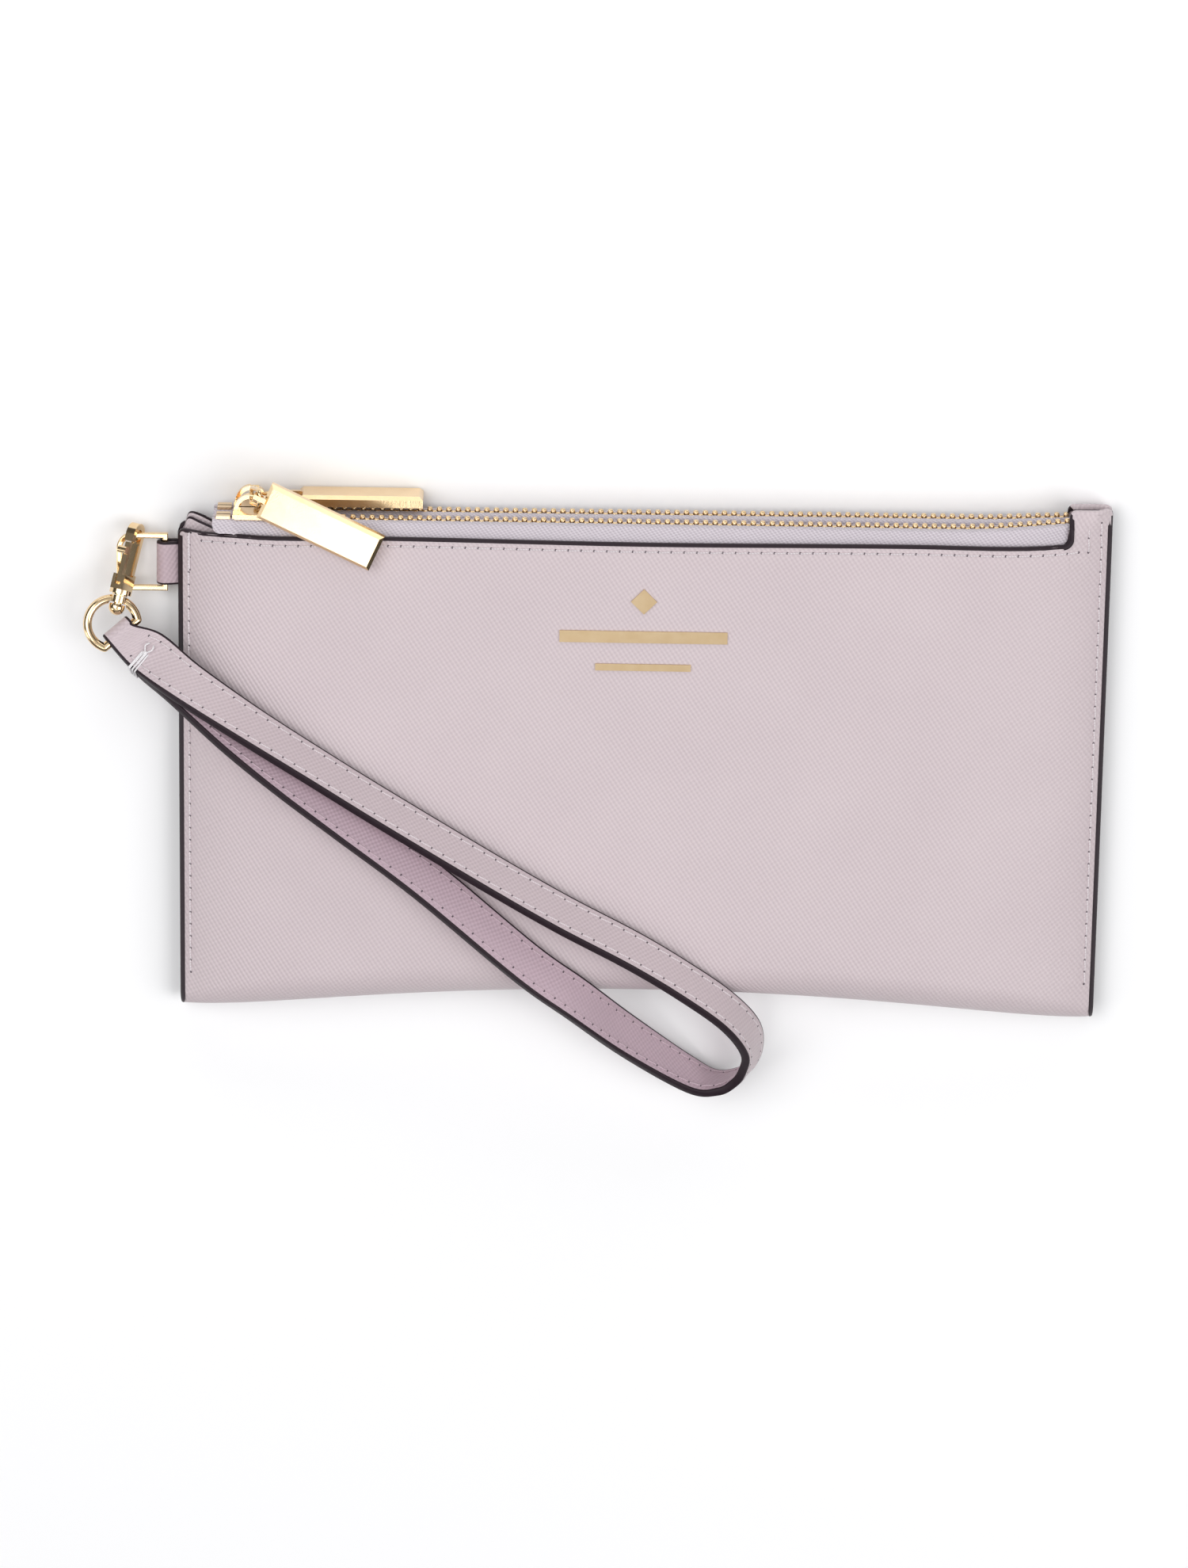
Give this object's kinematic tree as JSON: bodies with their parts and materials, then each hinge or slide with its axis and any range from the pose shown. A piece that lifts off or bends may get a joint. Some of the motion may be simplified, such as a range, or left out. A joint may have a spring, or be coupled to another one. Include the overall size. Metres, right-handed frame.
{
  "type": "wristlet wallet",
  "caption": "Slim leather wallet with two zipped compartments along the top, a side ring and a looped wrist strap on a swivel snap hook.",
  "frame": {"origin": "centre of the flat back panel, which rests on the table", "axes": "+X along the width towards the seam where the zips end, +Y up the wallet to the zips, +Z out of the front panel"},
  "size_m": [0.2204, 0.1396, 0.0277],
  "materials": {
    "saffiano_leather": "crosshatched, semi-matt",
    "strap_leather": "crosshatched, painted edges",
    "inner_leather": "smooth",
    "stiffener_board": "pressed board",
    "lining_cloth": "twill",
    "zip_tape": "twill",
    "thread": "waxed",
    "pale_gold": "polished",
    "spring_steel": "plain"
  },
  "bodies": {
    "wallet": {"outer_wrap": "saffiano_leather", "front_lining": "lining_cloth", "back_lining": "lining_cloth", "slip_pocket": "lining_cloth", "divider_board": "stiffener_board", "divider_front_facing": "inner_leather", "divider_back_facing": "inner_leather", "card_slot_left_1": "inner_leather", "card_slot_left_2": "inner_leather", "card_slot_left_3": "inner_leather", "card_slot_right_1": "inner_leather", "card_slot_right_2": "inner_leather", "card_slot_right_3": "inner_leather", "front_tape_outer": "zip_tape", "front_teeth_outer": "pale_gold", "front_tape_inner": "zip_tape", "front_teeth_inner": "pale_gold", "front_top_stops": "pale_gold", "front_bottom_stop": "pale_gold", "back_tape_inner": "zip_tape", "back_teeth_inner": "pale_gold", "back_tape_outer": "zip_tape", "back_teeth_outer": "pale_gold", "back_top_stops": "pale_gold", "back_bottom_stop": "pale_gold", "side_tab": "saffiano_leather", "badge_bar_long": "pale_gold", "badge_bar_short": "pale_gold", "badge_diamond": "pale_gold"},
    "front_slider": {"front_slider_body": "pale_gold", "front_slider_bow": "pale_gold"},
    "front_pull": {"front_pull_link": "pale_gold", "front_pull_tag": "pale_gold"},
    "back_slider": {"back_slider_body": "pale_gold", "back_slider_bow": "pale_gold"},
    "back_pull": {"back_pull_link": "pale_gold", "back_pull_tag": "pale_gold"},
    "ring": {"side_ring": "pale_gold"},
    "clasp": {"clasp_hook": "pale_gold", "clasp_gate_pin": "pale_gold", "clasp_spring": "spring_steel", "swivel_rivet": "pale_gold"},
    "gate": {"clasp_gate": "pale_gold"},
    "eye": {"swivel_eye": "pale_gold"},
    "strap": {"wrist_strap": "strap_leather", "strap_bar_tack": "thread"}
  },
  "joints": [
    {"name": "front_zip_slide", "type": "slide", "parent": "wallet", "child": "front_slider", "axis": [1, 0, 0], "range_m": [0, 0.155], "deforming": ["front_teeth_outer", "front_teeth_inner"]},
    {"name": "front_pull_swing", "type": "hinge", "parent": "front_slider", "child": "front_pull", "pos_m": [-0.084, 0.05875, 0.0109], "axis": [-1, 0, 0], "range_deg": [0, 90]},
    {"name": "back_zip_slide", "type": "slide", "parent": "wallet", "child": "back_slider", "axis": [1, 0, 0], "range_m": [0, 0.138], "deforming": ["back_teeth_outer", "back_teeth_inner"]},
    {"name": "back_pull_swing", "type": "hinge", "parent": "back_slider", "child": "back_pull", "pos_m": [-0.0837, 0.057, 0.00435], "axis": [0, 0, 1], "range_deg": [0, 85]},
    {"name": "ring_swing", "type": "hinge", "parent": "wallet", "child": "ring", "pos_m": [-0.1031, 0.04155, 0.0034], "axis": [0, 1, 0], "range_deg": [-75, 0]},
    {"name": "clasp_on_ring", "type": "hinge", "parent": "ring", "child": "clasp", "pos_m": [-0.1096, 0.0474, 0.0034], "axis": [-1, 0, 0], "range_deg": [0, 80]},
    {"name": "gate_press", "type": "hinge", "parent": "clasp", "child": "gate", "pos_m": [-0.11252, 0.03926, 0.00821], "axis": [-0.9052, 0.0783, -0.4178], "range_deg": [0, 14], "stiffness_Nm_per_rad": 0.01, "springref_deg": -5.73, "deforming": ["clasp_spring"]},
    {"name": "swivel_turn", "type": "hinge", "parent": "clasp", "child": "eye", "pos_m": [-0.11412, 0.02933, 0.0098], "axis": [-0.2294, -0.9174, 0.3251], "range_deg": [0, 170]},
    {"name": "strap_fold", "type": "hinge", "parent": "eye", "child": "strap", "pos_m": [-0.11229, 0.02726, 0.01027], "axis": [-0.7497, -0.5997, 0.2799], "range_deg": [0, 70]}
  ]
}
